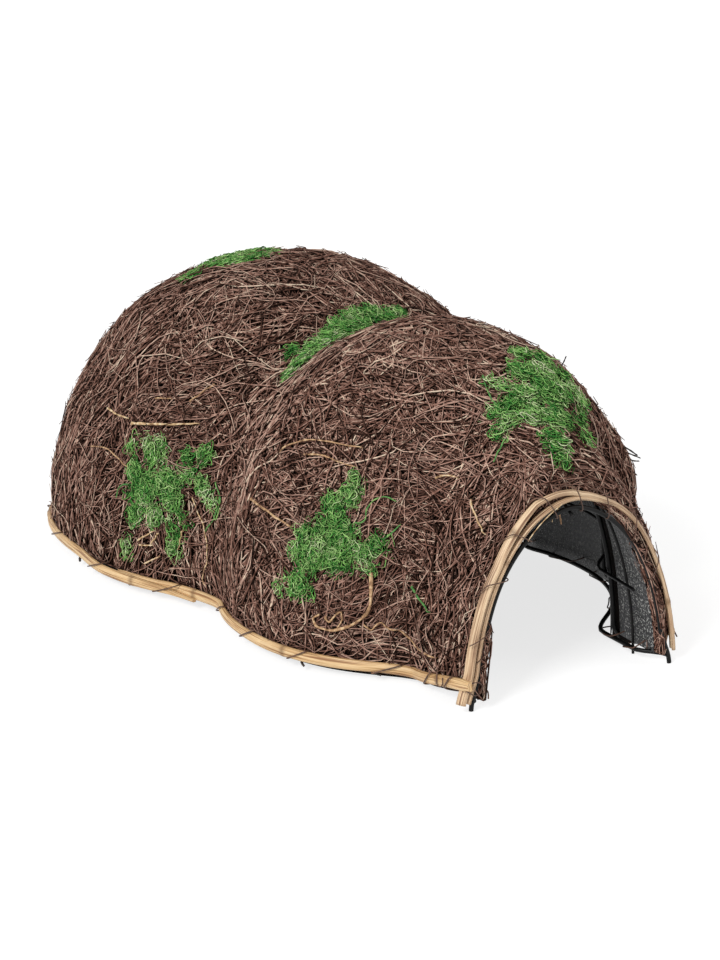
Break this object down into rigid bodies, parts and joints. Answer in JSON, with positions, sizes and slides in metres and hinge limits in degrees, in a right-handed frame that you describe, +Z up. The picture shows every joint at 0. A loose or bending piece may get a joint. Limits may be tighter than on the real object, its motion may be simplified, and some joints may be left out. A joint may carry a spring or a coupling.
{
  "type": "hedgehog house",
  "caption": "Two-domed brushwood shelter on a welded wire frame, with a dark liner, arched porch entrance, split-cane rims and moss cushions.",
  "frame": {"origin": "on the ground, below the middle of the house", "axes": "+Y from the entrance towards the back, +Z up"},
  "size_m": [0.389, 0.5772, 0.2261],
  "materials": {
    "frame_wire": "black plastic-coated wire",
    "liner": "dark felted sheet",
    "brushwood": "dry twigs and roots",
    "rim_cane": "split cane",
    "arch_cane": "split cane, weathered",
    "lashing_wire": "dull brown annealed wire",
    "moss": "dried green moss"
  },
  "bodies": {
    "root": {"base_wire": "frame_wire", "entrance_hoop": "frame_wire", "porch_hoop": "frame_wire", "throat_hoop": "frame_wire", "front_hoop": "frame_wire", "waist_hoop": "frame_wire", "middle_hoop": "frame_wire", "rear_hoop": "frame_wire", "left_rib": "frame_wire", "right_rib": "frame_wire", "ridge_wire": "frame_wire", "low_rail": "frame_wire", "high_rail": "frame_wire", "porch_liner": "liner", "front_liner": "liner", "rear_liner": "liner", "front_thatch": "brushwood", "rear_thatch": "brushwood", "left_rim_cane": "rim_cane", "right_rim_cane": "rim_cane", "rear_rim_cane": "rim_cane", "inner_arch_cane": "arch_cane", "outer_arch_cane": "arch_cane", "rim_lashing": "lashing_wire", "arch_lashing": "lashing_wire", "moss_left_rear": "moss", "moss_left_front": "moss", "moss_saddle": "moss", "moss_porch": "moss", "moss_crown": "moss", "moss_right_rear": "moss", "moss_right_front": "moss"}
  },
  "joints": []
}
